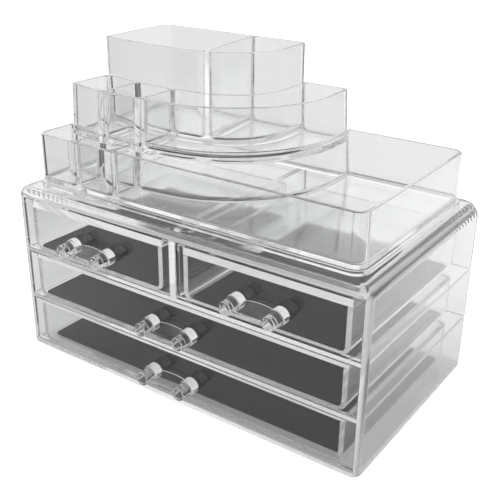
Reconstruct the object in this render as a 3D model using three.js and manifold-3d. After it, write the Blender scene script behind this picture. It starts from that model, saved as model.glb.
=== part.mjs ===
// Clear cosmetics organizer: a case with four drawers, and a stepped tray that stands on it.
// Millimetres, +Z up, +Y to the back. The origin is the middle of the case's footprint, on the table.
import * as THREE from 'three';
import { mergeVertices } from 'three/addons/utils/BufferGeometryUtils.js';
import Module from 'manifold-3d';

const wasm = await Module();
wasm.setup();

// Case
const caseWidth = 243.5;
const caseDepth = 140.6;
const caseHeight = 110;
const caseWall = 2.6;
const caseFloor = 3.2;
const caseRoof = 2.8;
const caseCornerRound = 5; // upright corners, seen from above
const caseSideRound = 8; // long rounding between a side and the top
const caseEdgeRound = 1; // top edges of the front and the back, and all round the foot
const railDrop = 3.5; // how far the front rail hangs below the roof
const railDepth = 1.95; // rail's depth at its lower edge
const railTopDepth = 5.45; // and at the roof: its back face slopes
const bayCornerRound = 3; // inside upright corners at the back

// Rows of drawers
const lowRowHeight = 30.2;
const middleRowHeight = 29.9;
const shelfThickness = 2.7;
const shelfCornerRound = 1;
const dividerThickness = 4.4;
const dividerPlace = 1.05; // its middle, right of the case's
const dividerRecess = 0.95; // its front, behind the case's front

// Drawer plates
const plateThickness = 3.4;
const plateRecess = 1.75; // plate face, behind the case's front
const plateSideGap = 0.8;
const plateTopGap = 0.5;
const topRowSlit = 2.1; // open slit between the top plates and the rail
const plateRound = 0.8;
const rightPlateLift = 0.7; // the top right plate stands a little higher above its shelf
const lipReach = { top: 5.7, middle: 4, bottom: 3.3 }; // lip behind a plate's top edge, as deep as it is high

// Drawer tubs and their liners
const tubOverhang = { caseLeft: 5.4, dividerLeft: 6.5, dividerRight: 2.6, caseRight: 7.2 }; // plate past the tub, at each upright
const tubWall = 3;
const tubFloor = 1.6;
const tubBackGap = 6.3;
const tubCornerRound = 5;
const tubFootRound = 5;
const tubLeastRound = 0.5;
const tubInnerRound = 2.5; // rounding inside, between floor and walls
const linerThickness = 1.1;
const linerCornerRound = 2;
const linerSetback = { top: 0, middle: 0, bottom: 4.5 }; // pad's front edge, behind the tub's

// Handles: two knobs joined by an arched web
const knobSpacing = 27;
const knobRadius = 4.1;
const knobLength = 12.8;
const knobEdge = 0.65;
const knobBaseRadius = 4.9;
const knobBaseLength = 5.6;
const knobBaseRound = 1;
const knobLevel = 12.1; // knob axis above the plate's lower edge
const webThickness = 1.3;
const webShoulder = 0.4; // web's top above the axis, at a knob
const webArch = 2.4; // how far its middle rises at the plate; its front edge is straight
const webInset = 0.8; // web's end behind the knobs' faces

// Tray
const trayWidth = 221;
const trayPlace = 1.05; // tray's middle, right of the case's
const trayFront = 61.35; // tray's front wall, in front of the origin
const trayBack = 60.95;
const trayWall = 2.2;
const trayFloor = 2;
const trayFloorLevel = 3.7; // lowest floor's top, above the foot
const trayFootHeight = 2.7;
const trayFootReach = 2; // foot outside the walls
const trayCornerRound = 7;
const trayNoseRound = 2.5; // left front corners of the two upper steps
const trayEndRound = 5; // right back corners of the two upper steps
const lowRimHeight = 32; // above the foot
const middleRimHeight = 56.7;
const highRimHeight = 81;
const raisedFloorLevel = 26.7; // floor shared by the two upper steps, above the foot

// Curved front of the upper steps, seen from above: a long bow that runs on into a round turn
const bowRadius = 211.7;
const bowPeak = 49.5; // bow's nearest point, from the tray's left side
const bowDepth = 65.2; // that point, in front of the tray's back
const turnRadius = 39;
const highStepWidth = 113.7;
const stepReach = 31; // middle step's front, out from the high step's
const stepDraft = 3; // how much the middle step widens down to the lowest floor
const ledgeReach = 0.6; // ledge round a step, level with the rim of the step below

// Tray dividers, measured from the tray's left side to the wall's middle
const cellWall = 2;
const firstCellEnd = 30.3;
const secondCellEnd = 59.8;
const highCellFrontEnd = 80.5;
const highCellBackEnd = 74;
const cellRound = 4.2;
const cellLeastRound = 0.6;
const lowFloorRound = 2.5;
const raisedFloorRound = 5;
const hollowRound = 3;
const roundRunShare = 2; // curve kept straight next to a rounded corner, over the round

// Clearances and cuts
const jointGap = 0.3;
const linerGap = 0.5;
const overrun = 4; // how far a cut runs past the face that it opens

// Fineness of round shapes
const cornerSteps = 5;
const edgeSteps = 5;
const filletSteps = 3;
const curveSteps = 22;
const cellCurveSteps = 3;
const knobSteps = 28;
const webSteps = 12;

// Colours read off the photograph
const clearPlastic = { color: 0xe6e9ea, roughness: 0.08, metalness: 0, transparent: true, opacity: 0.4 };
const darkLiner = { color: 0x4f4f50, roughness: 0.9, metalness: 0 };

// Levels and places worked out from the sizes above
const lowShelfBottom = caseFloor + lowRowHeight;
const lowShelfTop = lowShelfBottom + shelfThickness;
const highShelfBottom = lowShelfTop + middleRowHeight;
const highShelfTop = highShelfBottom + shelfThickness;
const roofBottom = caseHeight - caseRoof;
const railBottom = roofBottom - railDrop;
const bayHalfWidth = caseWidth / 2 - caseWall;
const bayBack = caseDepth / 2 - caseWall;
const faceY = -caseDepth / 2 + plateRecess;
const plateBack = faceY + plateThickness;
const trayFootLevel = caseHeight + jointGap;
const trayLeft = trayPlace - trayWidth / 2;
const trayRight = trayPlace + trayWidth / 2;
const lowFloorTop = trayFootLevel + trayFloorLevel;
const raisedFloorTop = trayFootLevel + raisedFloorLevel;
const lowRim = trayFootLevel + lowRimHeight;
const middleRim = trayFootLevel + middleRimHeight;
const highRim = trayFootLevel + highRimHeight;

// A closed mesh as a solid that can be joined and cut
function toSolid(geometry) {
  const bare = geometry.clone();
  bare.deleteAttribute('normal');
  bare.deleteAttribute('uv');
  const merged = mergeVertices(bare);
  const corners = merged.index.array;
  const kept = [];
  for (let at = 0; at < corners.length; at += 3) {
    const [a, b, c] = corners.slice(at, at + 3);
    if (a !== b && b !== c && c !== a) kept.push(a, b, c);
  }
  const vertProperties = new Float32Array(merged.attributes.position.array);
  return new wasm.Manifold(new wasm.Mesh({ numProp: 3, vertProperties, triVerts: new Uint32Array(kept) }));
}

function toGeometry(solid) {
  const mesh = solid.getMesh();
  const geometry = new THREE.BufferGeometry();
  geometry.setAttribute('position', new THREE.BufferAttribute(new Float32Array(mesh.vertProperties), 3));
  geometry.setIndex(new THREE.BufferAttribute(new Uint32Array(mesh.triVerts), 1));
  geometry.computeVertexNormals();
  return geometry;
}

// An outline from corners [x, y, round]: a corner with a round becomes an arc
function softened(corners) {
  const points = [];
  corners.forEach(([x, y, round = 0], index) => {
    const corner = new THREE.Vector2(x, y);
    if (round === 0) {
      points.push(corner);
      return;
    }
    const before = new THREE.Vector2(...corners.at(index - 1)).sub(corner).normalize();
    const after = new THREE.Vector2(...corners[(index + 1) % corners.length]).sub(corner).normalize();
    const half = Math.acos(before.dot(after)) / 2;
    const middle = before.clone().add(after).setLength(round / Math.sin(half)).add(corner);
    const start = before.multiplyScalar(round / Math.tan(half)).add(corner).sub(middle);
    const end = after.multiplyScalar(round / Math.tan(half)).add(corner).sub(middle);
    const sweep = Math.atan2(start.cross(end), start.dot(end));
    for (let step = 0; step <= cornerSteps; step += 1) {
      const turned = start.clone().rotateAround(new THREE.Vector2(), (sweep * step) / cornerSteps);
      points.push(turned.add(middle));
    }
  });
  return points;
}

// A closed skin through outlines of equal point count, each at its own height
function loft(levels) {
  const count = levels[0].outline.length;
  const positions = levels.flatMap(({ outline, z }) => outline.flatMap((point) => [point.x, point.y, z]));
  const faces = [];
  for (let level = 0; level + 1 < levels.length; level += 1) {
    for (let at = 0; at < count; at += 1) {
      const a = level * count + at;
      const b = level * count + ((at + 1) % count);
      faces.push(a, b, b + count, a, b + count, a + count);
    }
  }
  const last = levels.length - 1;
  for (const [a, b, c] of THREE.ShapeUtils.triangulateShape(levels[0].outline, [])) faces.push(c, b, a);
  for (const [a, b, c] of THREE.ShapeUtils.triangulateShape(levels[last].outline, [])) {
    faces.push(last * count + a, last * count + b, last * count + c);
  }
  const geometry = new THREE.BufferGeometry();
  geometry.setAttribute('position', new THREE.Float32BufferAttribute(positions, 3));
  geometry.setIndex(faces);
  return toSolid(geometry);
}

function prism(outline, bottom, top) {
  return loft([{ outline, z: bottom }, { outline, z: top }]);
}

function box(left, right, front, back, bottom, top) {
  return prism(rectangle(left, right, front, back, 0), bottom, top);
}

// A rectangle seen from above, with one round for all corners or [left front, right front, right back, left back]
function rectangle(left, right, front, back, rounds) {
  const [leftFront, rightFront, rightBack, leftBack] = Array.isArray(rounds) ? rounds : Array(4).fill(rounds);
  return softened([
    [left, front, leftFront],
    [right, front, rightFront],
    [right, back, rightBack],
    [left, back, leftBack],
  ]);
}

// Heights and insets round a floor's fillet, from the floor up to where the wall is upright
function filletLevels(floor, round, steps = filletSteps) {
  return Array.from({ length: steps + 1 }, (_, step) => {
    const turn = (Math.PI / 2) * (step / steps);
    return { inset: round * (1 - Math.sin(turn)), z: floor + round * (1 - Math.cos(turn)) };
  });
}

// A pocket cut down to a floor with a filleted edge; plan(inset, z) gives its outline
function pocket(plan, floor, round, rim) {
  const levels = [...filletLevels(floor, round), { inset: 0, z: rim + overrun }];
  return loft(levels.map(({ inset, z }) => ({ outline: plan(inset, z), z })));
}

// Case

// How far a rounded top edge has turned in at a height
function topInset(z, round) {
  const above = Math.max(0, z - (caseHeight - round));
  return round - Math.sqrt(Math.max(0, round * round - above * above));
}

function caseBlock() {
  const rise = (round) => Array.from({ length: edgeSteps + 1 }, (_, step) => (
    round * (1 - Math.cos((Math.PI / 2) * (step / edgeSteps)))
  ));
  const top = [...rise(caseSideRound), ...rise(caseEdgeRound).slice(1)].map((drop) => caseHeight - drop);
  const insetAt = (z, topRound) => topInset(caseHeight - z, caseEdgeRound) + topInset(z, topRound);
  return loft([...rise(caseEdgeRound), ...top].sort((a, b) => a - b).map((z) => {
    const x = caseWidth / 2 - insetAt(z, caseSideRound);
    const y = caseDepth / 2 - insetAt(z, caseEdgeRound);
    return { z, outline: rectangle(-x, x, -y, y, caseCornerRound) };
  }));
}

function caseShell() {
  const mouth = -caseDepth / 2 - overrun;
  const rounds = [0, 0, bayCornerRound, bayCornerRound];
  const bay = prism(rectangle(-bayHalfWidth, bayHalfWidth, mouth, bayBack, rounds), caseFloor, railBottom);
  const atticLevel = (depth, z) => ({
    z,
    outline: rectangle(-bayHalfWidth, bayHalfWidth, -caseDepth / 2 + depth, bayBack, rounds),
  });
  const attic = loft([
    atticLevel(railDepth, (caseFloor + railBottom) / 2),
    atticLevel(railDepth, railBottom),
    atticLevel(railTopDepth, roofBottom),
  ]);
  return caseBlock().subtract(bay).subtract(attic);
}

function shelf(bottom) {
  const side = bayHalfWidth - jointGap;
  const back = bayBack - jointGap;
  const rounds = [shelfCornerRound, shelfCornerRound, bayCornerRound, bayCornerRound];
  return prism(rectangle(-side, side, faceY, back, rounds), bottom, bottom + shelfThickness - jointGap);
}

// The upright wall between the top drawers, notched at the front for the rail
function centerDivider() {
  const left = dividerPlace - dividerThickness / 2;
  const right = dividerPlace + dividerThickness / 2;
  const bottom = highShelfTop;
  const behindRail = -caseDepth / 2 + railTopDepth + jointGap;
  const front = box(left, right, -caseDepth / 2 + dividerRecess, bayBack - jointGap, bottom, railBottom - jointGap);
  const rear = box(left, right, behindRail, bayBack - jointGap, bottom, roofBottom - jointGap);
  return front.add(rear);
}

// Drawers: the plate's left, right, lower and upper edge place all of a drawer's pieces
function drawerPlate({ left, right, bottom, top, lip, lift, overhangs }) {
  const outline = softened([
    [left, bottom + lift, plateRound],
    [right, bottom + lift, plateRound],
    [right, top, plateRound],
    [left, top, plateRound],
  ]);
  const plate = prism(outline, -plateBack, -faceY).rotate([90, 0, 0]);
  const lipLevel = (depth, z) => ({
    z,
    outline: rectangle(left + overhangs[0], right - overhangs[1], (faceY + plateBack) / 2, plateBack + depth, 0),
  });
  return plate.add(loft([lipLevel(0, top - lip), lipLevel(lip, top)]));
}

function tubBounds({ left, right, bottom, top, lip, overhangs }) {
  return {
    left: left + overhangs[0],
    right: right - overhangs[1],
    front: plateBack + jointGap,
    back: bayBack - tubBackGap,
    bottom,
    top: top - lip - jointGap,
  };
}

function drawerTub(plate) {
  const tub = tubBounds(plate);
  const rounds = (inset) => {
    const rear = Math.max(tubCornerRound - inset, tubLeastRound);
    return [0, 0, rear, rear];
  };
  const outer = (inset) => rectangle(tub.left + inset, tub.right - inset, tub.front, tub.back - inset, rounds(inset));
  const foot = filletLevels(tub.bottom, tubFootRound, edgeSteps);
  const levels = foot.map(({ inset, z }) => ({ outline: outer(inset), z }));
  const block = loft([...levels, { outline: outer(0), z: tub.top }]);
  const inner = (inset) => rectangle(
    tub.left + tubWall + inset,
    tub.right - tubWall - inset,
    tub.front - overrun,
    tub.back - tubWall - inset,
    rounds(tubWall + inset),
  );
  return block.subtract(pocket(inner, tub.bottom + tubFloor, tubInnerRound, tub.top));
}

function drawerLiner(plate) {
  const tub = tubBounds(plate);
  const side = tubWall + linerGap;
  const bottom = tub.bottom + tubFloor + jointGap;
  const inset = tubInnerRound / 2;
  const outline = rectangle(
    tub.left + side + inset,
    tub.right - side - inset,
    tub.front + plate.padSetback,
    tub.back - side - inset,
    linerCornerRound,
  );
  return prism(outline, bottom, bottom + linerThickness);
}

// A knob's outline turned round its axis, from the plate out to the face
function knob() {
  const bend = (middleRadius, middleLength, round, from, to) => Array.from({ length: filletSteps + 1 }, (_, step) => {
    const turn = from + ((to - from) * step) / filletSteps;
    return new THREE.Vector2(middleRadius + round * Math.cos(turn), middleLength + round * Math.sin(turn));
  });
  const profile = [
    new THREE.Vector2(0, 0),
    new THREE.Vector2(knobBaseRadius, 0),
    ...bend(knobBaseRadius - knobBaseRound, knobBaseLength - knobBaseRound, knobBaseRound, 0, Math.PI / 2),
    new THREE.Vector2(knobRadius, knobBaseLength),
    ...bend(knobRadius - knobEdge, knobLength - knobEdge, knobEdge, 0, Math.PI / 2),
    new THREE.Vector2(0, knobLength),
  ];
  return toSolid(new THREE.LatheGeometry(profile, knobSteps));
}

function web() {
  const end = knobSpacing / 2;
  const outline = (rise) => {
    const top = Array.from({ length: webSteps + 1 }, (_, step) => {
      const x = end - (knobSpacing * step) / webSteps;
      return new THREE.Vector2(x, webShoulder + rise * (1 - (x / end) ** 2));
    });
    const under = top.map((point) => new THREE.Vector2(point.x, point.y - webThickness)).reverse();
    return [...under, ...top];
  };
  return loft([{ outline: outline(webArch), z: 0 }, { outline: outline(0), z: knobLength - webInset }]).rotate([90, 0, 0]);
}

function drawerHandle(plate) {
  const { left, right, bottom } = tubBounds(plate);
  const turned = knob().rotate([180, 0, 0]);
  const knobs = [-1, 1].map((side) => turned.translate([(side * knobSpacing) / 2, 0, 0]));
  const place = [(left + right) / 2, faceY - jointGap, bottom + knobLevel];
  return knobs[0].add(knobs[1]).add(web()).translate(place);
}

// Tray

const bowMiddle = new THREE.Vector2(trayLeft + bowPeak, trayBack - bowDepth + bowRadius);
const turnMiddle = new THREE.Vector2(trayLeft + highStepWidth - turnRadius, 0);
turnMiddle.y = bowMiddle.y - Math.sqrt((bowRadius - turnRadius) ** 2 - (turnMiddle.x - bowMiddle.x) ** 2);
const meetAngle = Math.atan2(turnMiddle.y - bowMiddle.y, turnMiddle.x - bowMiddle.x);

// A point of the curved front, out from the high step's by an offset, where its outward side faces an angle
function curvePoint(offset, angle) {
  const [middle, radius] = angle < meetAngle ? [bowMiddle, bowRadius] : [turnMiddle, turnRadius];
  const x = middle.x + (radius + offset) * Math.cos(angle);
  const y = middle.y + (radius + offset) * Math.sin(angle);
  return [x, y];
}

function curveAngle(offset, x) {
  const onBow = -Math.acos((x - bowMiddle.x) / (bowRadius + offset));
  return onBow < meetAngle ? onBow : -Math.acos((x - turnMiddle.x) / (turnRadius + offset));
}

// Corners along the curved front between two angles, an end with a round standing clear of the next corner
function curveRun(offset, from, to, steps, [firstRound, lastRound]) {
  const gap = (angle, round) => {
    const radius = (angle < meetAngle ? bowRadius : turnRadius) + offset;
    return (Math.sign(to - from) * roundRunShare * round) / radius;
  };
  const start = from + gap(from, firstRound);
  const end = to - gap(to, lastRound);
  const run = Array.from({ length: steps + 1 }, (_, step) => {
    return [...curvePoint(offset, start + ((end - start) * step) / steps), 0];
  });
  if (firstRound > 0) run.unshift([...curvePoint(offset, from), firstRound]);
  if (lastRound > 0) run.push([...curvePoint(offset, to), lastRound]);
  return run;
}

// How far the middle step's wall stands out at a height
function draftAt(z) {
  return (stepDraft * (middleRim - z)) / (middleRim - lowFloorTop);
}

// Plan of an upper step: straight at the left, the back and the right, curved at the front
function stepPlan(offset, inset, rounds) {
  const left = trayLeft + inset;
  const right = turnMiddle.x + turnRadius + offset - inset;
  const back = trayBack - inset;
  const reach = offset - inset;
  return softened([
    [left, back, rounds.leftBack],
    ...curveRun(reach, curveAngle(reach, left), 0, curveSteps, [rounds.nose, 0]),
    [right, back, rounds.rightBack],
  ]);
}

const outerRounds = { leftBack: trayCornerRound, nose: trayNoseRound, rightBack: trayEndRound };
const hollowRounds = { leftBack: trayCornerRound - trayWall, nose: cellLeastRound, rightBack: hollowRound };

function cellCorner(inset) {
  return Math.max(cellRound - inset, cellLeastRound);
}

function lowStepReach(inset, z) {
  return stepReach + ledgeReach + draftAt(z) + inset;
}

// A small compartment of the lowest step, between two uprights
function lowCell(start, end) {
  return (inset, z) => {
    const [left, right] = [start + inset, end - inset];
    const front = -trayFront + trayWall + inset;
    const round = cellCorner(inset);
    const reach = lowStepReach(inset, z);
    const angles = [curveAngle(reach, right), curveAngle(reach, left)];
    const behind = curveRun(reach, ...angles, cellCurveSteps, [round, round]);
    return softened([[left, front, round], [right, front, round], ...behind]);
  };
}

// The open bay of the lowest step, which goes round the middle step to the back wall
function lowBay(start) {
  return (inset, z) => {
    const [left, right] = [start + inset, trayRight - trayWall - inset];
    const [front, back] = [-trayFront + trayWall + inset, trayBack - trayWall - inset];
    const round = cellCorner(inset);
    const outer = Math.max(trayCornerRound - trayWall - inset, cellLeastRound);
    const reach = lowStepReach(inset, z);
    const end = turnMiddle.x + turnRadius + reach;
    const behind = curveRun(reach, 0, curveAngle(reach, left), curveSteps, [0, round]);
    return softened([[left, front, round], [right, front, outer], [right, back, outer], [end, back, round], ...behind]);
  };
}

// Fronts and backs of the middle step's compartments
function middleReaches(inset, z) {
  return { front: stepReach + draftAt(z) - trayWall - inset, back: ledgeReach + inset };
}

function middleCell(start, end) {
  return (inset, z) => {
    const [left, right] = [start + inset, end - inset];
    const round = cellCorner(inset);
    const reach = middleReaches(inset, z);
    const runs = [[reach.front, left, right], [reach.back, right, left]];
    return softened(runs.flatMap(([offset, from, to]) => (
      curveRun(offset, curveAngle(offset, from), curveAngle(offset, to), cellCurveSteps, [round, round])
    )));
  };
}

function middleBay(start) {
  return (inset, z) => {
    const left = start + inset;
    const back = trayBack - trayWall - inset;
    const round = cellCorner(inset);
    const reach = middleReaches(inset, z);
    const ends = turnMiddle.x + turnRadius;
    return softened([
      ...curveRun(reach.front, curveAngle(reach.front, left), 0, curveSteps, [round, 0]),
      [ends + reach.front, back, round],
      [ends + reach.back, back, round],
      ...curveRun(reach.back, 0, curveAngle(reach.back, left), curveSteps, [0, round]),
    ]);
  };
}

// The high step's two compartments, with a slanting wall between them
const highWall = { front: trayLeft + highCellFrontEnd, back: trayLeft + highCellBackEnd };

function highLeftCell(inset) {
  const left = trayLeft + trayWall + inset;
  const back = trayBack - trayWall - inset;
  const side = cellWall / 2 + inset;
  const reach = -trayWall - inset;
  const angles = [curveAngle(reach, left), curveAngle(reach, highWall.front - side)];
  const outer = Math.max(trayCornerRound - trayWall - inset, cellLeastRound);
  const front = curveRun(reach, ...angles, cellCurveSteps * 2, [cellLeastRound, cellCorner(inset)]);
  return softened([[left, back, outer], ...front, [highWall.back - side, back, cellCorner(inset)]]);
}

function highRightCell(inset) {
  const back = trayBack - trayWall - inset;
  const side = cellWall / 2 + inset;
  const reach = -trayWall - inset;
  const right = turnMiddle.x + turnRadius + reach;
  const round = cellCorner(inset);
  const front = curveRun(reach, curveAngle(reach, highWall.front + side), 0, curveSteps, [round, 0]);
  return softened([[highWall.back + side, back, round], ...front, [right, back, round]]);
}

function topTray() {
  const outerPlan = (reach) => rectangle(
    trayLeft - reach,
    trayRight + reach,
    -trayFront - reach,
    trayBack + reach,
    trayCornerRound + reach,
  );
  const base = prism(outerPlan(0), trayFootLevel, lowRim);
  const foot = prism(outerPlan(trayFootReach), trayFootLevel, trayFootLevel + trayFootHeight);
  const middleLevel = (z) => ({ z, outline: stepPlan(stepReach + draftAt(z), 0, outerRounds) });
  const middleStep = loft([middleLevel(lowFloorTop), middleLevel(middleRim)]);
  const highStep = prism(stepPlan(0, 0, outerRounds), lowFloorTop, highRim);
  const blocks = base.add(foot).add(middleStep).add(highStep);

  const firstSide = trayLeft + trayWall;
  const walls = [trayLeft + firstCellEnd, trayLeft + secondCellEnd];
  const [pastFirst, pastSecond] = walls.map((wall) => wall + cellWall / 2);
  const [beforeFirst, beforeSecond] = walls.map((wall) => wall - cellWall / 2);
  const pockets = [
    pocket(lowCell(firstSide, beforeFirst), lowFloorTop, lowFloorRound, lowRim),
    pocket(lowCell(pastFirst, beforeSecond), lowFloorTop, lowFloorRound, lowRim),
    pocket(lowBay(pastSecond), lowFloorTop, lowFloorRound, lowRim),
    pocket(middleCell(firstSide, beforeFirst), raisedFloorTop, raisedFloorRound, middleRim),
    pocket(middleCell(pastFirst, beforeSecond), raisedFloorTop, raisedFloorRound, middleRim),
    pocket(middleBay(pastSecond), raisedFloorTop, raisedFloorRound, middleRim),
    pocket(highLeftCell, raisedFloorTop, raisedFloorRound, highRim),
    pocket(highRightCell, raisedFloorTop, raisedFloorRound, highRim),
  ];

  const below = trayFootLevel - overrun;
  const recess = prism(outerPlan(-trayWall), below, lowFloorTop - trayFloor);
  const hollowLevel = (z) => ({
    z,
    outline: stepPlan(stepReach + ledgeReach + draftAt(z), trayWall, hollowRounds),
  });
  const hollow = loft([hollowLevel(below), hollowLevel(raisedFloorTop - trayFloor)]);
  return [...pockets, recess, hollow].reduce((solid, cut) => solid.subtract(cut), blocks);
}

// Assembly
const organizer = new THREE.Group();

function addPiece(parent, name, solid, look) {
  const mesh = new THREE.Mesh(toGeometry(solid), new THREE.MeshStandardMaterial({ ...look, flatShading: true }));
  mesh.name = name;
  parent.add(mesh);
}

addPiece(organizer, 'case_shell', caseShell(), clearPlastic);
addPiece(organizer, 'lower_shelf', shelf(lowShelfBottom), clearPlastic);
addPiece(organizer, 'upper_shelf', shelf(highShelfBottom), clearPlastic);
addPiece(organizer, 'center_divider', centerDivider(), clearPlastic);

const farSide = bayHalfWidth - plateSideGap;
const nearSide = dividerThickness / 2 + plateSideGap;
const { caseLeft, dividerLeft, dividerRight, caseRight } = tubOverhang;
const rows = {
  top: { bottom: highShelfTop, top: railBottom - topRowSlit },
  middle: { bottom: lowShelfTop, top: highShelfBottom - plateTopGap },
  bottom: { bottom: caseFloor + jointGap, top: lowShelfBottom - plateTopGap },
};
for (const [row, edges] of Object.entries(rows)) {
  edges.lip = lipReach[row];
  edges.padSetback = linerSetback[row];
  edges.lift = 0;
}
const drawers = {
  top_left: { left: -farSide, right: dividerPlace - nearSide, overhangs: [caseLeft, dividerLeft], ...rows.top },
  top_right: {
    left: dividerPlace + nearSide,
    right: farSide,
    overhangs: [dividerRight, caseRight],
    ...rows.top,
    lift: rightPlateLift,
  },
  middle: { left: -farSide, right: farSide, overhangs: [caseLeft, caseRight], ...rows.middle },
  bottom: { left: -farSide, right: farSide, overhangs: [caseLeft, caseRight], ...rows.bottom },
};
for (const [drawer, plate] of Object.entries(drawers)) {
  const group = new THREE.Group();
  addPiece(group, `${drawer}_drawer_tub`, drawerTub(plate), clearPlastic);
  addPiece(group, `${drawer}_drawer_front`, drawerPlate(plate), clearPlastic);
  addPiece(group, `${drawer}_drawer_handle`, drawerHandle(plate), clearPlastic);
  addPiece(group, `${drawer}_drawer_liner`, drawerLiner(plate), darkLiner);
  organizer.add(group);
}
addPiece(organizer, 'top_tray', topTray(), clearPlastic);

export default organizer;
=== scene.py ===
from math import acos, atan2, cos, pi, radians, sin, sqrt, tan

import bmesh
import bpy
from mathutils import Matrix, Vector


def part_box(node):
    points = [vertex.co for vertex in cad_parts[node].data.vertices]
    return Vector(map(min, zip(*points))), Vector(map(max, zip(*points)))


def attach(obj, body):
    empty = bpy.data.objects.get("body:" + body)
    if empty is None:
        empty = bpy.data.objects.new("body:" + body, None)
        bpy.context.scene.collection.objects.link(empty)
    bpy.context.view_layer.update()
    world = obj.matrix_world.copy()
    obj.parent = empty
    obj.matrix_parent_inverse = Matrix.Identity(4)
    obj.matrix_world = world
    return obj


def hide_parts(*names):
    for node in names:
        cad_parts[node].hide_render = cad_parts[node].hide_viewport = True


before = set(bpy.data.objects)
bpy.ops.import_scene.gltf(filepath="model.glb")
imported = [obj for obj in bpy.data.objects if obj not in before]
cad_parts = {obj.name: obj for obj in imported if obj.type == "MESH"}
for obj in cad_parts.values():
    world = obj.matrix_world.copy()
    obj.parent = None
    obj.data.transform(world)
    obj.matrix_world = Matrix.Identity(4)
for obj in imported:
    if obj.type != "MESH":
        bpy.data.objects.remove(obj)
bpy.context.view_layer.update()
mm = 0.001

# The view of the picture, worked out from the case's straight edges
cameraView = {
    "target": (-71.85 * mm, 110.75 * mm, 13.2 * mm),
    "distance": 654.7 * mm,
    "azimuth": radians(34.69),
    "elevation": radians(24.23),
    "roll": radians(0.67),
    "focalInPixels": 822.8,
    "pictureSide": 500,
    "sensorWidth": 36,
    "nearest": 10 * mm,
    "farthest": 50,
}


def heading(azimuth, elevation):
    # a unit step away from the part; azimuth 0 is its front and a quarter turn its right side
    level = cos(elevation)
    return Vector((sin(azimuth) * level, -cos(azimuth) * level, sin(elevation)))


def addCamera(view):
    camera = bpy.data.cameras.new("camera")
    camera.sensor_width = view["sensorWidth"]
    camera.lens = view["sensorWidth"] * view["focalInPixels"] / view["pictureSide"]
    camera.clip_start, camera.clip_end = view["nearest"], view["farthest"]
    back = heading(view["azimuth"], view["elevation"])
    holder = bpy.data.objects.new("camera", camera)
    turn = (-back).to_track_quat("-Z", "Y").to_matrix().to_4x4() @ Matrix.Rotation(view["roll"], 4, "Z")
    holder.matrix_world = Matrix.Translation(Vector(view["target"]) + back * view["distance"]) @ turn
    bpy.context.scene.collection.objects.link(holder)
    bpy.context.scene.camera = holder


addCamera(cameraView)
print("camera placed")


# Mesh helpers
flatFaceWeight = 80


def objectFrom(bm, name):
    bmesh.ops.recalc_face_normals(bm, faces=bm.faces)
    mesh = bpy.data.meshes.new(name)
    bm.to_mesh(mesh)
    bm.free()
    piece = bpy.data.objects.new(name, mesh)
    bpy.context.scene.collection.objects.link(piece)
    return piece


def applied(piece):
    # the modifiers' result becomes the piece's own mesh
    shaped = bpy.data.meshes.new_from_object(piece.evaluated_get(bpy.context.evaluated_depsgraph_get()))
    piece.modifiers.clear()
    piece.data = shaped
    return piece


def combine(piece, others, operation):
    # joins or cuts with each of the others, which are used up
    for other in others:
        step = piece.modifiers.new("combine", "BOOLEAN")
        step.operation, step.object, step.solver = operation, other, "MANIFOLD"
        applied(piece)
        bpy.data.objects.remove(other)
    return piece


def smoothed(piece, sharpAngle=32):
    # soft shading that keeps flat faces flat
    piece.data.shade_smooth()
    piece.data.set_sharp_from_angle(angle=radians(sharpAngle))
    weighting = piece.modifiers.new("flat faces", "WEIGHTED_NORMAL")
    weighting.keep_sharp = True
    weighting.weight = flatFaceWeight
    return applied(piece)


def dress(piece, replaced, body, material):
    piece.data.materials.clear()
    piece.data.materials.append(material)
    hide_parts(replaced)
    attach(piece, body)
    return piece


def block(low, high):
    bm = bmesh.new()
    bmesh.ops.create_cube(bm, size=1)
    size = [top - bottom for bottom, top in zip(low, high)]
    bmesh.ops.scale(bm, vec=size, verts=bm.verts)
    bmesh.ops.translate(bm, vec=[(bottom + top) / 2 for bottom, top in zip(low, high)], verts=bm.verts)
    return bm


def soften(bm, edges, offset, segments):
    bmesh.ops.bevel(
        bm, geom=list(edges), offset=offset, segments=segments, profile=0.5, affect="EDGES", material=-1,
        clamp_overlap=True,
    )


def roundedBlock(low, high, edgeRound, segments):
    bm = block(low, high)
    soften(bm, bm.edges, edgeRound, segments)
    return bm


def softenPiece(piece, chosen, offset, segments):
    bm = bmesh.new()
    bm.from_mesh(piece.data)
    soften(bm, [edge for edge in bm.edges if chosen(edge)], offset, segments)
    bm.to_mesh(piece.data)
    bm.free()
    return piece


# Outlines with rounded corners, and closed skins through them at several heights
roundSteps = 7


def outlineOf(corners):
    # corners are (x, y, round); a corner with a round becomes an arc
    points = []
    for at, (x, y, cornerRound) in enumerate(corners):
        corner = Vector((x, y))
        if cornerRound == 0:
            points.append(corner)
            continue
        before = (Vector(corners[at - 1][:2]) - corner).normalized()
        after = (Vector(corners[(at + 1) % len(corners)][:2]) - corner).normalized()
        half = before.angle(after) / 2
        middle = corner + (before + after).normalized() * cornerRound / sin(half)
        start = corner + before * cornerRound / tan(half) - middle
        end = corner + after * cornerRound / tan(half) - middle
        sweep = atan2(start.x * end.y - start.y * end.x, start.dot(end))
        for step in range(roundSteps + 1):
            points.append(middle + Matrix.Rotation(sweep * step / roundSteps, 2) @ start)
    return points


def rectangle(left, right, front, back, rounds):
    if not isinstance(rounds, (list, tuple)):
        rounds = [rounds] * 4
    corners = [(left, front), (right, front), (right, back), (left, back)]
    return outlineOf([(x, y, cornerRound) for (x, y), cornerRound in zip(corners, rounds)])


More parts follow.
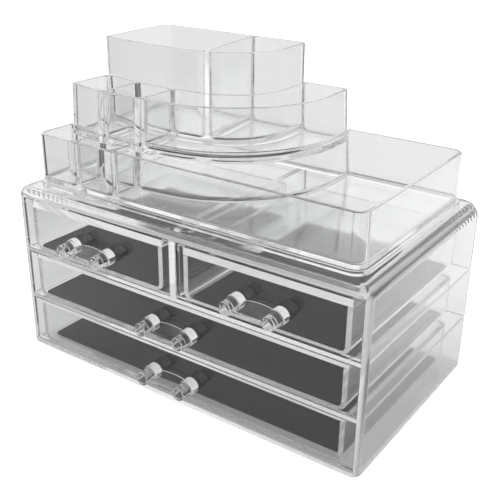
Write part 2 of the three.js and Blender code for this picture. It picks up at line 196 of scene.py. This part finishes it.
def loft(levels):
    # levels are (outline, height), the outlines with the same number of points
    bm = bmesh.new()
    rings = []
    for outline, height in levels:
        verts = [bm.verts.new((point.x, point.y, height)) for point in outline]
        rings.append([bm.edges.new((vert, verts[at - 1])) for at, vert in enumerate(verts)])
    for lower, upper in zip(rings, rings[1:]):
        bmesh.ops.bridge_loops(bm, edges=lower + upper)
    bmesh.ops.edgeloop_fill(bm, edges=rings[0] + rings[-1])
    return bm


def fillet(start, size, segments, outward=False):
    # (inset, height) round an inner floor edge, or round an outer top edge
    turns = [pi / 2 * step / segments for step in range(segments + 1)]
    if outward:
        return [(size * (1 - cos(turn)), start - size * (1 - sin(turn))) for turn in turns]
    return [(size * (1 - sin(turn)), start + size * (1 - cos(turn))) for turn in turns]


def standing(plan, bottom, top, footRound, topRound, segments=4):
    # a solid from a plan(inset, height), rounded at its foot and its top
    levels = fillet(bottom, footRound, segments) if footRound else [(0, bottom)]
    levels += fillet(top, topRound, segments, outward=True)
    return loft([(plan(inset, height), height) for inset, height in levels])


def pocket(plan, floor, floorRound, rim, rimRound, overrun, segments=5, flareSteps=3):
    # a cutter with a rounded floor edge, flared where it meets the rim
    turns = [pi / 2 * step / flareSteps for step in range(flareSteps + 1)]
    flare = [(-rimRound * (1 - cos(turn)), rim - rimRound * (1 - sin(turn))) for turn in turns]
    levels = fillet(floor, floorRound, segments) + flare + [(-rimRound, rim + overrun)]
    return loft([(plan(inset, height), height) for inset, height in levels])


# Case: its shell is one moulding, open at the front
case = {
    "wall": 2.6 * mm,
    "floor": 3.2 * mm,
    "roof": 2.8 * mm,
    "cornerRound": 5 * mm,
    "sideRound": 8 * mm,
    "edgeRound": 1 * mm,
    "railDrop": 3.5 * mm,
    "railDepth": 1.95 * mm,
    "railTopDepth": 5.45 * mm,
    "bayRound": 3 * mm,
    "mouthRound": 0.25 * mm,
    "mouthDepth": 0.9 * mm,
    "overrun": 4 * mm,
    "edgeSteps": 4,
    "sideSteps": 14,
    "mouthSteps": 3,
    "mouthAngle": 45,
    "sharpAngle": 50,
}


def makeCaseShell(sizes):
    low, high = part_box("case_shell")
    faceRound, sideRound = sizes["edgeRound"], sizes["sideRound"]

    def insetAt(height, topRound):
        below, above = max(0, low.z + faceRound - height), max(0, height - high.z + topRound)
        foot = faceRound - sqrt(max(0, faceRound ** 2 - below ** 2))
        return foot + topRound - sqrt(max(0, topRound ** 2 - above ** 2))

    heights = [height for _, height in fillet(low.z, faceRound, sizes["edgeSteps"])]
    heights += [height for _, height in fillet(high.z, sideRound, sizes["sideSteps"], outward=True)]
    heights += [height for _, height in fillet(high.z, faceRound, sizes["edgeSteps"], outward=True)][:-1]
    rings = []
    for height in sorted(heights):
        side, face = insetAt(height, sideRound), insetAt(height, faceRound)
        sides = low.x + side, high.x - side, low.y + face, high.y - face
        rings.append((rectangle(*sides, sizes["cornerRound"]), height))
    shell = objectFrom(loft(rings), "caseShell")
    inner = [low.x + sizes["wall"], high.x - sizes["wall"]]
    back = high.y - sizes["wall"]
    rounds = [0, 0, sizes["bayRound"], sizes["bayRound"]]
    roofBottom = high.z - sizes["roof"]
    railBottom = roofBottom - sizes["railDrop"]
    bay = rectangle(*inner, low.y - sizes["overrun"], back, rounds)
    attic, atticTop = (
        rectangle(*inner, low.y + sizes[depth], back, rounds) for depth in ("railDepth", "railTopDepth")
    )
    middle = (low.z + railBottom) / 2
    cutters = [
        objectFrom(loft([(bay, low.z + sizes["floor"]), (bay, railBottom)]), "bay"),
        objectFrom(loft([(attic, middle), (attic, railBottom), (atticTop, roofBottom)]), "attic"),
    ]
    combine(shell, cutters, "DIFFERENCE")

    def atMouth(edge):
        inFront = all(vert.co.y < low.y + sizes["mouthDepth"] for vert in edge.verts)
        return inFront and len(edge.link_faces) == 2 and edge.calc_face_angle(0) > radians(sizes["mouthAngle"])

    return smoothed(softenPiece(shell, atMouth, sizes["mouthRound"], sizes["mouthSteps"]), sizes["sharpAngle"])


# Shelves and divider: plain boards, the divider notched for the rail
boards = {"edgeRound": 0.25 * mm, "edgeSteps": 3, "clearance": 0.3 * mm}


def makeBoard(node, name, sizes):
    return smoothed(objectFrom(roundedBlock(*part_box(node), sizes["edgeRound"], sizes["edgeSteps"]), name))


def makeDivider(sizes):
    low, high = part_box("center_divider")
    shellLow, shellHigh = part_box("case_shell")
    railBottom = shellHigh.z - case["roof"] - case["railDrop"]
    gap = low.y - shellLow.y
    notchBack, notchFoot = shellLow.y + case["railTopDepth"] + sizes["clearance"], railBottom - sizes["clearance"]
    divider = objectFrom(block(low, high), "centerDivider")
    cutter = block((low.x - gap, low.y - gap, notchFoot), (high.x + gap, notchBack, high.z + gap))
    combine(divider, [objectFrom(cutter, "notch")], "DIFFERENCE")
    return smoothed(softenPiece(divider, lambda edge: True, sizes["edgeRound"], sizes["edgeSteps"]))


# Drawers
tub = {
    "wall": 3 * mm,
    "floor": 1.6 * mm,
    "cornerRound": 5 * mm,
    "footRound": 5 * mm,
    "footSteps": 8,
    "floorRound": 2.5 * mm,
    "rimRound": 0.8 * mm,
    "leastRound": 0.5 * mm,
    "overrun": 4 * mm,
}


def makeTub(node, name, sizes):
    low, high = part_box(node)

    def outer(inset, height):
        rear = max(sizes["cornerRound"] - inset, sizes["leastRound"])
        return rectangle(low.x + inset, high.x - inset, low.y, high.y - inset, [0, 0, rear, rear])

    def inner(inset, height):
        side = sizes["wall"] + inset
        rear = max(sizes["cornerRound"] - side, sizes["leastRound"])
        front = low.y - sizes["overrun"]
        return rectangle(low.x + side, high.x - side, front, high.y - side, [0, 0, rear, rear])

    rounds = sizes["footRound"], sizes["rimRound"], sizes["footSteps"]
    body = objectFrom(standing(outer, low.z, high.z, *rounds), name)
    inside = pocket(inner, low.z + sizes["floor"], sizes["floorRound"], high.z, sizes["rimRound"], sizes["overrun"])
    return smoothed(combine(body, [objectFrom(inside, "inside")], "DIFFERENCE"))


# Drawer front: a flat plate with a sloped lip behind its top edge
plate = {"thickness": 3.4 * mm, "edgeRound": 0.25 * mm, "edgeSteps": 4, "lipRound": 0.2 * mm, "lipSteps": 3}


def makePlate(node, name, tubNode, sizes):
    low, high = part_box(node)
    tubLow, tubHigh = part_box(tubNode)
    back = low.y + sizes["thickness"]
    body = objectFrom(roundedBlock(low, (high.x, back, high.z), sizes["edgeRound"], sizes["edgeSteps"]), name)
    sides = tubLow.x, tubHigh.x, low.y + sizes["thickness"] / 2
    under, over = (rectangle(*sides, depth, 0) for depth in (back, high.y))
    lip = loft([(under, high.z - (high.y - back)), (over, high.z)])
    soften(lip, lip.edges, sizes["lipRound"], sizes["lipSteps"])
    return smoothed(combine(body, [objectFrom(lip, "lip")], "UNION"))


# Handle: two turned knobs and the thin arched web between them
handle = {
    "spacing": 27 * mm,
    "radius": 4.1 * mm,
    "length": 12.8 * mm,
    "edge": 0.65 * mm,
    "dishLip": 1.1 * mm,
    "dishDepth": 0.4 * mm,
    "baseRadius": 4.9 * mm,
    "baseLength": 5.6 * mm,
    "baseRound": 1 * mm,
    "webThickness": 1.3 * mm,
    "webShoulder": 0.4 * mm,
    "webArch": 2.4 * mm,
    "webInset": 0.8 * mm,
    "webRound": 0.4 * mm,
    "turnSteps": 64,
    "edgeSteps": 4,
    "webSteps": 24,
    "webRows": 5,
    "webEdgeAngle": 60,
    "webRoundSteps": 3,
    "sharpAngle": 28,
    "mergeWithin": 0.001 * mm,
}


def makeKnob(sizes, place):
    # a half outline turned about the axis that runs out from the plate
    radius, length, base = sizes["radius"], sizes["length"], sizes["baseRadius"]
    baseEdge = fillet(sizes["baseLength"], sizes["baseRound"], sizes["edgeSteps"], outward=True)
    freeEdge = fillet(length, sizes["edge"], sizes["edgeSteps"], outward=True)
    outline = [(0, 0), (base, 0)]
    outline += [(base - inset, along) for inset, along in baseEdge]
    outline += [(radius, sizes["baseLength"])]
    outline += [(radius - inset, along) for inset, along in freeEdge]
    lip, dish = sizes["dishLip"], sizes["dishDepth"]
    outline += [(radius - lip, length), (radius - lip - dish, length - dish), (0, length - dish)]
    bm = bmesh.new()
    verts = [bm.verts.new((across, -along, 0)) for across, along in outline]
    edges = [bm.edges.new(pair) for pair in zip(verts, verts[1:])]
    bmesh.ops.spin(
        bm, geom=verts + edges, cent=(0, 0, 0), axis=(0, 1, 0), angle=2 * pi, steps=sizes["turnSteps"],
        use_merge=True,
    )
    bmesh.ops.remove_doubles(bm, verts=bm.verts, dist=sizes["mergeWithin"])
    bmesh.ops.translate(bm, vec=place, verts=bm.verts)
    return bm


def makeWeb(sizes, place):
    # arched where it meets the plate, straight at its front edge
    end, steps, rows = sizes["spacing"] / 2, sizes["webSteps"], sizes["webRows"]
    depth = sizes["length"] - sizes["webInset"]

    def section(rise):
        across = [end - sizes["spacing"] * step / steps for step in range(steps + 1)]
        top = [Vector((x, sizes["webShoulder"] + rise * (1 - (x / end) ** 2))) for x in across]
        return [point - Vector((0, sizes["webThickness"])) for point in reversed(top)] + top

    shares = [row / rows for row in range(rows + 1)]
    bm = loft([(section(sizes["webArch"] * (1 - share)), depth * share) for share in shares])
    bmesh.ops.rotate(bm, verts=bm.verts, matrix=Matrix.Rotation(pi / 2, 3, "X"))
    bmesh.ops.recalc_face_normals(bm, faces=bm.faces)
    rims = [edge for edge in bm.edges if edge.calc_face_angle(0) > radians(sizes["webEdgeAngle"])]
    soften(bm, rims, sizes["webRound"], sizes["webRoundSteps"])
    bmesh.ops.translate(bm, vec=place, verts=bm.verts)
    return bm


def makeHandle(node, name, sizes):
    low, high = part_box(node)
    place = Vector(((low.x + high.x) / 2, high.y, low.z + sizes["baseRadius"]))
    apart = Vector((sizes["spacing"] / 2, 0, 0))
    body = objectFrom(makeKnob(sizes, place - apart), name)
    others = [objectFrom(makeKnob(sizes, place + apart), "knob"), objectFrom(makeWeb(sizes, place), "web")]
    return smoothed(combine(body, others, "UNION"), sizes["sharpAngle"])


# Liner: a thin pad with a soft edge
liner = {
    "edgeRound": 0.6 * mm,
    "edgeSteps": 4,
    "cornerRound": 2 * mm,
    "cornerSteps": 6,
    "topBand": 0.01 * mm,
    "sharpAngle": 60,
}


def makeLiner(node, name, sizes):
    low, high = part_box(node)
    bm = block(low, high)
    upright = [edge for edge in bm.edges if abs(edge.verts[0].co.z - edge.verts[1].co.z) > (high.z - low.z) / 2]
    soften(bm, upright, sizes["cornerRound"], sizes["cornerSteps"])
    top = [edge for edge in bm.edges if min(vert.co.z for vert in edge.verts) > high.z - sizes["topBand"]]
    soften(bm, top, sizes["edgeRound"], sizes["edgeSteps"])
    return smoothed(objectFrom(bm, name), sizes["sharpAngle"])


# Tray: one moulding in three steps
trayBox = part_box("top_tray")
tray = {
    "wall": 2.2 * mm,
    "floor": 2 * mm,
    "floorLevel": 3.7 * mm,
    "footHeight": 2.7 * mm,
    "footReach": 2 * mm,
    "footRound": 0.8 * mm,
    "cornerRound": 7 * mm,
    "noseRound": 2.5 * mm,
    "endRound": 5 * mm,
    "lowRim": 32 * mm,
    "middleRim": 56.7 * mm,
    "highRim": 81 * mm,
    "raisedFloor": 26.7 * mm,
    "rimRound": 0.6 * mm,
    "bowRadius": 211.7 * mm,
    "bowPeak": 49.5 * mm,
    "bowDepth": 65.2 * mm,
    "turnRadius": 39 * mm,
    "highWidth": 113.7 * mm,
    "stepReach": 31 * mm,
    "stepDraft": 3 * mm,
    "ledge": 0.6 * mm,
    "cellWall": 2 * mm,
    "firstEnd": 30.3 * mm,
    "secondEnd": 59.8 * mm,
    "highFrontEnd": 80.5 * mm,
    "highBackEnd": 74 * mm,
    "cellRound": 4.2 * mm,
    "leastRound": 0.6 * mm,
    "leastOuterRound": 0.3 * mm,
    "roundClearance": 2,
    "lowFloorRound": 2.5 * mm,
    "raisedFloorRound": 5 * mm,
    "hollowRound": 3 * mm,
    "curveSteps": 56,
    "cellSteps": 8,
    "overrun": 4 * mm,
}
trayLeft, trayRight = trayBox[0].x + tray["footReach"], trayBox[1].x - tray["footReach"]
trayFront, trayBack = trayBox[0].y + tray["footReach"], trayBox[1].y - tray["footReach"]
trayFoot = trayBox[0].z
lowFloor, raisedFloor = trayFoot + tray["floorLevel"], trayFoot + tray["raisedFloor"]
lowRim, middleRim, highRim = (trayFoot + tray[name] for name in ("lowRim", "middleRim", "highRim"))

# The upper steps' front: a long bow that runs on into a round turn
bowMiddle = Vector((trayLeft + tray["bowPeak"], trayBack - tray["bowDepth"] + tray["bowRadius"]))
turnMiddle = Vector((trayLeft + tray["highWidth"] - tray["turnRadius"], 0))
turnMiddle.y = bowMiddle.y - sqrt((tray["bowRadius"] - tray["turnRadius"]) ** 2 - (turnMiddle.x - bowMiddle.x) ** 2)
meetAngle = atan2(turnMiddle.y - bowMiddle.y, turnMiddle.x - bowMiddle.x)
curveEnd = turnMiddle.x + tray["turnRadius"]


def curvePoint(reach, angle):
    middle, radius = (bowMiddle, tray["bowRadius"]) if angle < meetAngle else (turnMiddle, tray["turnRadius"])
    return middle.x + (radius + reach) * cos(angle), middle.y + (radius + reach) * sin(angle)


def curveAngle(reach, x):
    onBow = -acos((x - bowMiddle.x) / (tray["bowRadius"] + reach))
    return onBow if onBow < meetAngle else -acos((x - turnMiddle.x) / (tray["turnRadius"] + reach))


def curveRun(reach, start, end, steps, startRound, endRound):
    # corners along the curve; an end with a round stands clear of its neighbour
    def gap(angle, cornerRound):
        radius = (tray["bowRadius"] if angle < meetAngle else tray["turnRadius"]) + reach
        return (1 if end > start else -1) * tray["roundClearance"] * cornerRound / radius

    first, last = start + gap(start, startRound), end - gap(end, endRound)
    run = [(*curvePoint(reach, first + (last - first) * step / steps), 0) for step in range(steps + 1)]
    if startRound > 0:
        run.insert(0, (*curvePoint(reach, start), startRound))
    if endRound > 0:
        run.append((*curvePoint(reach, end), endRound))
    return run


def draftAt(height):
    return tray["stepDraft"] * (middleRim - height) / (middleRim - lowFloor)


def stepPlan(reach, inset, leftBack, nose, rightBack):
    left, back, right = trayLeft + inset, trayBack - inset, curveEnd + reach - inset
    front = curveRun(reach - inset, curveAngle(reach - inset, left), 0, tray["curveSteps"], nose, 0)
    return outlineOf([(left, back, leftBack), *front, (right, back, rightBack)])


def cellCorner(inset):
    return max(tray["cellRound"] - inset, tray["leastRound"])


def lowReach(inset, height):
    return tray["stepReach"] + tray["ledge"] + draftAt(height) + inset


def lowCell(start, end):
    def plan(inset, height):
        left, right, front = start + inset, end - inset, trayFront + tray["wall"] + inset
        corner, reach = cellCorner(inset), lowReach(inset, height)
        angles = curveAngle(reach, right), curveAngle(reach, left)
        behind = curveRun(reach, *angles, tray["cellSteps"], corner, corner)
        return outlineOf([(left, front, corner), (right, front, corner), *behind])
    return plan


def lowBay(start):
    def plan(inset, height):
        left, right = start + inset, trayRight - tray["wall"] - inset
        front, back = trayFront + tray["wall"] + inset, trayBack - tray["wall"] - inset
        corner, outer = cellCorner(inset), max(tray["cornerRound"] - tray["wall"] - inset, tray["leastRound"])
        reach = lowReach(inset, height)
        behind = curveRun(reach, 0, curveAngle(reach, left), tray["curveSteps"], 0, corner)
        corners = [(left, front, corner), (right, front, outer), (right, back, outer)]
        return outlineOf([*corners, (curveEnd + reach, back, corner), *behind])
    return plan


def middleReaches(inset, height):
    return tray["stepReach"] + draftAt(height) - tray["wall"] - inset, tray["ledge"] + inset


def middleCell(start, end):
    def plan(inset, height):
        left, right, corner = start + inset, end - inset, cellCorner(inset)
        frontReach, backReach = middleReaches(inset, height)
        corners = []
        for reach, here, there in ((frontReach, left, right), (backReach, right, left)):
            angles = curveAngle(reach, here), curveAngle(reach, there)
            corners += curveRun(reach, *angles, tray["cellSteps"], corner, corner)
        return outlineOf(corners)
    return plan


def middleBay(start):
    def plan(inset, height):
        left, back, corner = start + inset, trayBack - tray["wall"] - inset, cellCorner(inset)
        frontReach, backReach = middleReaches(inset, height)
        return outlineOf([
            *curveRun(frontReach, curveAngle(frontReach, left), 0, tray["curveSteps"], corner, 0),
            (curveEnd + frontReach, back, corner),
            (curveEnd + backReach, back, corner),
            *curveRun(backReach, 0, curveAngle(backReach, left), tray["curveSteps"], 0, corner),
        ])
    return plan


wallFront, wallBack = trayLeft + tray["highFrontEnd"], trayLeft + tray["highBackEnd"]


def highLeftCell(inset, height):
    left, back = trayLeft + tray["wall"] + inset, trayBack - tray["wall"] - inset
    side, reach, corner = tray["cellWall"] / 2 + inset, -tray["wall"] - inset, cellCorner(inset)
    outer = max(tray["cornerRound"] - tray["wall"] - inset, tray["leastRound"])
    angles = curveAngle(reach, left), curveAngle(reach, wallFront - side)
    front = curveRun(reach, *angles, 2 * tray["cellSteps"], tray["leastRound"], corner)
    return outlineOf([(left, back, outer), *front, (wallBack - side, back, corner)])


def highRightCell(inset, height):
    back, side = trayBack - tray["wall"] - inset, tray["cellWall"] / 2 + inset
    reach, corner = -tray["wall"] - inset, cellCorner(inset)
    front = curveRun(reach, curveAngle(reach, wallFront + side), 0, tray["curveSteps"], corner, 0)
    return outlineOf([(wallBack + side, back, corner), *front, (curveEnd + reach, back, corner)])


def makeTray(sizes):
    def outerPlan(reach):
        def plan(inset, height):
            grow = reach - inset
            edges = trayLeft - grow, trayRight + grow, trayFront - grow, trayBack + grow
            return rectangle(*edges, sizes["cornerRound"] + grow)
        return plan

    def outerRounds(inset):
        names = "cornerRound", "noseRound", "endRound"
        return [max(sizes[name] - inset, sizes["leastOuterRound"]) for name in names]

    def middlePlan(inset, height):
        return stepPlan(sizes["stepReach"] + draftAt(height), inset, *outerRounds(inset))

    def highPlan(inset, height):
        return stepPlan(0, inset, *outerRounds(inset))

    rimRound = sizes["rimRound"]
    body = objectFrom(standing(outerPlan(0), trayFoot, lowRim, 0, rimRound), "topTray")
    foot = standing(outerPlan(sizes["footReach"]), trayFoot, trayFoot + sizes["footHeight"], 0, sizes["footRound"])
    middleStep = standing(middlePlan, lowFloor, middleRim, 0, rimRound)
    highStep = standing(highPlan, lowFloor, highRim, 0, rimRound)
    joined = [objectFrom(part, "step") for part in (foot, middleStep, highStep)]
    combine(body, joined, "UNION")

    firstSide, half = trayLeft + sizes["wall"], sizes["cellWall"] / 2
    first, second = trayLeft + sizes["firstEnd"], trayLeft + sizes["secondEnd"]
    lowCut = (lowFloor, sizes["lowFloorRound"], lowRim, rimRound, sizes["overrun"])
    middleCut = (raisedFloor, sizes["raisedFloorRound"], middleRim, rimRound, sizes["overrun"])
    highCut = (raisedFloor, sizes["raisedFloorRound"], highRim, rimRound, sizes["overrun"])
    cuts = [
        pocket(lowCell(firstSide, first - half), *lowCut),
        pocket(lowCell(first + half, second - half), *lowCut),
        pocket(lowBay(second + half), *lowCut),
        pocket(middleCell(firstSide, first - half), *middleCut),
        pocket(middleCell(first + half, second - half), *middleCut),
        pocket(middleBay(second + half), *middleCut),
        pocket(highLeftCell, *highCut),
        pocket(highRightCell, *highCut),
    ]
    below = trayFoot - sizes["overrun"]
    recess = outerPlan(-sizes["wall"])(0, below)
    cuts.append(loft([(recess, below), (recess, lowFloor - sizes["floor"])]))

    def hollowPlan(height):
        reach = sizes["stepReach"] + sizes["ledge"] + draftAt(height)
        rounds = sizes["cornerRound"] - sizes["wall"], sizes["leastRound"], sizes["hollowRound"]
        return stepPlan(reach, sizes["wall"], *rounds)

    top = raisedFloor - sizes["floor"]
    cuts.append(loft([(hollowPlan(below), below), (hollowPlan(top), top)]))
    combine(body, [objectFrom(cut, "cut") for cut in cuts], "DIFFERENCE")
    return smoothed(body)


# Shader expressions
class Wire:
    # an output socket; sums on wires add their Math nodes
    def __init__(self, socket):
        self.socket = socket
        self.tree = socket.node.id_data

    def math(self, operation, left, right):
        return addNode(self.tree, "ShaderNodeMath", {"operation": operation}, {0: left, 1: right})

    def __add__(self, other):
        return self.math("ADD", self, other)

    def __sub__(self, other):
        return self.math("SUBTRACT", self, other)

    def __rsub__(self, other):
        return self.math("SUBTRACT", other, self)

    def __mul__(self, other):
        return self.math("MULTIPLY", self, other)

    __radd__ = __add__
    __rmul__ = __mul__


def addNode(tree, kind, settings, inputs, output=0):
    node = tree.nodes.new(kind)
    for name, value in settings.items():
        if name == "stops":
            stops = node.color_ramp.elements
            while len(stops) < len(value):
                stops.new(0)
            for stop, (position, shade) in zip(stops, value):
                stop.position, stop.color = position, (shade, shade, shade, 1)
        else:
            setattr(node, name, value)
    for name, value in inputs.items():
        if isinstance(value, Wire):
            tree.links.new(value.socket, node.inputs[name])
        else:
            node.inputs[name].default_value = value
    return Wire(node.outputs[output]) if node.outputs else node


def newMaterial(name):
    made = bpy.data.materials.new(name)
    made.use_nodes = True
    made.node_tree.nodes.clear()
    return made, made.node_tree


def ramp(tree, factor, stops):
    return addNode(tree, "ShaderNodeValToRGB", {"stops": stops}, {"Fac": factor})


def noise(tree, where, scale, detail=2):
    inputs = {"Vector": where, "Scale": scale, "Detail": detail}
    return addNode(tree, "ShaderNodeTexNoise", {}, inputs)


def mixColour(tree, factor, first, second):
    inputs = {0: factor, 6: (*first, 1), 7: (*second, 1)}
    return addNode(tree, "ShaderNodeMix", {"data_type": "RGBA"}, inputs, 2)


# Clear plastic: slightly clouded, faintly waved and rubbed in patches
plasticLook = {
    "clear": (0.966, 0.969, 0.97),
    "clouded": (0.95, 0.954, 0.956),
    "ior": 1.49,
    "smooth": 0.03,
    "rubbed": 0.045,
    "waveDepth": 0.03 * mm,
    "ripple": 0.12,
    "flowScale": 38,
    "rippleScale": 170,
    "rubbingScale": 240,
    "rubbingDetail": 5,
    "rubbedPatches": [(0.45, 0), (0.8, 1)],
}


def makeClearPlastic(look):
    made, tree = newMaterial("clearPlastic")
    where = addNode(tree, "ShaderNodeTexCoord", {}, {}, "Object")
    flow, ripple = noise(tree, where, look["flowScale"]), noise(tree, where, look["rippleScale"])
    rubbed = ramp(tree, noise(tree, where, look["rubbingScale"], look["rubbingDetail"]), look["rubbedPatches"])
    waves = flow + ripple * look["ripple"]
    bump = addNode(tree, "ShaderNodeBump", {}, {"Height": waves, "Strength": 1, "Distance": look["waveDepth"]})
    surface = addNode(tree, "ShaderNodeBsdfPrincipled", {}, {
        "Base Color": mixColour(tree, flow, look["clear"], look["clouded"]),
        "Roughness": rubbed * look["rubbed"] + look["smooth"],
        "Normal": bump,
        "IOR": look["ior"],
        "Transmission Weight": 1,
    })
    addNode(tree, "ShaderNodeOutputMaterial", {}, {"Surface": surface}, None)
    return made


# Liner cloth: near black with a fine nap
linerLook = {
    "dark": (0.012, 0.012, 0.013),
    "worn": (0.016, 0.016, 0.017),
    "fibre": 0.01 * mm,
    "fibreStrength": 0.4,
    "fibreScale": 1600,
    "fibreDetail": 4,
    "fibreShare": 0.6,
    "patchScale": 45,
    "patchDetail": 3,
    "patchShare": 0.4,
    "roughness": 0.75,
    "roughnessSpread": 0.2,
    "sheen": 0.1,
    "sheenRoughness": 0.5,
}


def makeDarkLiner(look):
    made, tree = newMaterial("darkLiner")
    where = addNode(tree, "ShaderNodeTexCoord", {}, {}, "Object")
    fibres = noise(tree, where, look["fibreScale"], look["fibreDetail"])
    patches = noise(tree, where, look["patchScale"], look["patchDetail"])
    nap = {"Height": fibres, "Strength": look["fibreStrength"], "Distance": look["fibre"]}
    wear = fibres * look["fibreShare"] + patches * look["patchShare"]
    surface = addNode(tree, "ShaderNodeBsdfPrincipled", {}, {
        "Base Color": mixColour(tree, wear, look["dark"], look["worn"]),
        "Roughness": fibres * look["roughnessSpread"] + look["roughness"],
        "Normal": addNode(tree, "ShaderNodeBump", {}, nap),
        "Sheen Weight": look["sheen"],
        "Sheen Roughness": look["sheenRoughness"],
    })
    addNode(tree, "ShaderNodeOutputMaterial", {}, {"Surface": surface}, None)
    return made


# Studio: a pale floor with painted shade at the left and a painted light strip beside the part, under a soft sky with
# flags
studio = {
    "floorSize": 12,
    "floorDrop": 0.1 * mm,
    "floorColour": 0.8,
    "floorRoughness": 0.9,
    "glowInView": 0.75,
    "glowOnObject": 0.28,
    "shadeAcross": [(0.25, 0), (0.3, 1)],
    "shadeAlong": [(0.02, 1), (0.07, 0)],
    "shade": 0.94,
    "paintedLightStrip": [(0.13, 0.25), (0.17, 1), (0.25, 1), (0.3, 0)],
    "paintedStripGlow": 0.4,
    "paintedShadeBeyondStrip": -0.1,
    "sky": [(0.0, 0.76), (0.12, 0.76), (0.2, 0.86), (0.32, 0.95), (0.55, 0.85), (0.7, 0.5), (0.85, 0.62), (1.0, 1.1)],
    "flags": [
        (-60, 5, 0.9, 0.95, 0.85), (125, 5, 0.9, 0.95, 0.85), (35, 20, 0.97, 0.985, 0.8), (-145, 26, 0.9, 0.97, -0.3),
    ],
    "bounces": 100,
}


def addFloor(look):
    # evenly white past the part; the painted shade and the painted light strip show only in the part and through it
    bm = bmesh.new()
    bmesh.ops.create_grid(bm, x_segments=4, y_segments=4, size=look["floorSize"] / 2)
    bmesh.ops.translate(bm, vec=(0, 0, -look["floorDrop"]), verts=bm.verts)
    floor = objectFrom(bm, "floor")
    made, tree = newMaterial("paleFloor")
    inView = addNode(tree, "ShaderNodeLightPath", {}, {}, "Is Camera Ray")
    where = addNode(tree, "ShaderNodeTexCoord", {}, {}, "Object")
    across, along = (addNode(tree, "ShaderNodeSeparateXYZ", {}, {"Vector": where}, axis) for axis in "XY")
    # painted shade: the floor's colour and glow are darkened towards the left and front, for every ray but the
    # camera's
    shaded = ramp(tree, across * -1, look["shadeAcross"]) * ramp(tree, along, look["shadeAlong"])
    lit = 1 - shaded * (1 - inView) * look["shade"]
    glow = inView * (look["glowInView"] - look["glowOnObject"]) + look["glowOnObject"]
    # painted light: a brighter strip in the floor's glow to the right of the part, with painted shade beyond it, for
    # every ray but the camera's
    paintedLightStrip = (ramp(tree, across, look["paintedLightStrip"]) * look["paintedStripGlow"] + look["paintedShadeBeyondStrip"]) * (1 - inView)
    surface = addNode(tree, "ShaderNodeBsdfPrincipled", {}, {
        "Base Color": lit * look["floorColour"],
        "Roughness": look["floorRoughness"],
        "Emission Color": lit * glow + paintedLightStrip,
        "Emission Strength": 1,
    })
    addNode(tree, "ShaderNodeOutputMaterial", {}, {"Surface": surface}, None)
    floor.data.materials.append(made)


def addSky(look):
    # tones by height, with flags as (azimuth, elevation, edge, middle, depth); a depth below zero brightens
    world = bpy.data.worlds.new("studio")
    bpy.context.scene.world = world
    world.use_nodes = True
    tree = world.node_tree
    tree.nodes.clear()
    direction = addNode(tree, "ShaderNodeTexCoord", {}, {}, "Generated")
    height = addNode(tree, "ShaderNodeSeparateXYZ", {}, {"Vector": direction}, "Z")
    tone = ramp(tree, height, look["sky"])
    for azimuth, elevation, edge, middle, depth in look["flags"]:
        ends = {0: direction, 1: heading(radians(azimuth), radians(elevation))}
        near = addNode(tree, "ShaderNodeVectorMath", {"operation": "DOT_PRODUCT"}, ends, "Value")
        tone = tone * (1 - ramp(tree, near, [(edge, 0), (middle, 1)]) * depth)
    inView = addNode(tree, "ShaderNodeLightPath", {}, {}, "Is Camera Ray")
    light = addNode(tree, "ShaderNodeBackground", {}, {"Color": tone * (1 - inView) + inView, "Strength": 1})
    addNode(tree, "ShaderNodeOutputWorld", {}, {"Surface": light}, None)


def setBounces(look):
    # clear plastic inside clear plastic needs many bounces
    scene = bpy.context.scene
    scene.view_settings.view_transform = "Standard"
    for limit in ("max_bounces", "transmission_bounces", "transparent_max_bounces", "glossy_bounces"):
        setattr(scene.cycles, limit, look["bounces"])


addFloor(studio)
addSky(studio)
setBounces(studio)
clearPlastic, darkLiner = makeClearPlastic(plasticLook), makeDarkLiner(linerLook)
print("studio and materials made")

casePieces = {
    "case_shell": makeCaseShell(case),
    "lower_shelf": makeBoard("lower_shelf", "lowerShelf", boards),
    "upper_shelf": makeBoard("upper_shelf", "upperShelf", boards),
    "center_divider": makeDivider(boards),
}
for node, piece in casePieces.items():
    dress(piece, node, "cabinet", clearPlastic)
print("case made")

drawerLabels = {"top_left": "topLeft", "top_right": "topRight", "middle": "middle", "bottom": "bottom"}
for drawer, label in drawerLabels.items():
    body = f"{drawer}_drawer"
    clearPieces = {
        f"{body}_tub": makeTub(f"{body}_tub", f"{label}Tub", tub),
        f"{body}_front": makePlate(f"{body}_front", f"{label}Front", f"{body}_tub", plate),
        f"{body}_handle": makeHandle(f"{body}_handle", f"{label}Handle", handle),
    }
    for node, piece in clearPieces.items():
        dress(piece, node, body, clearPlastic)
    linerPiece = makeLiner(f"{body}_liner", f"{label}Liner", liner)
    dress(linerPiece, f"{body}_liner", body, darkLiner)
print("drawers made")

dress(makeTray(tray), "top_tray", "tray", clearPlastic)
print("tray made")
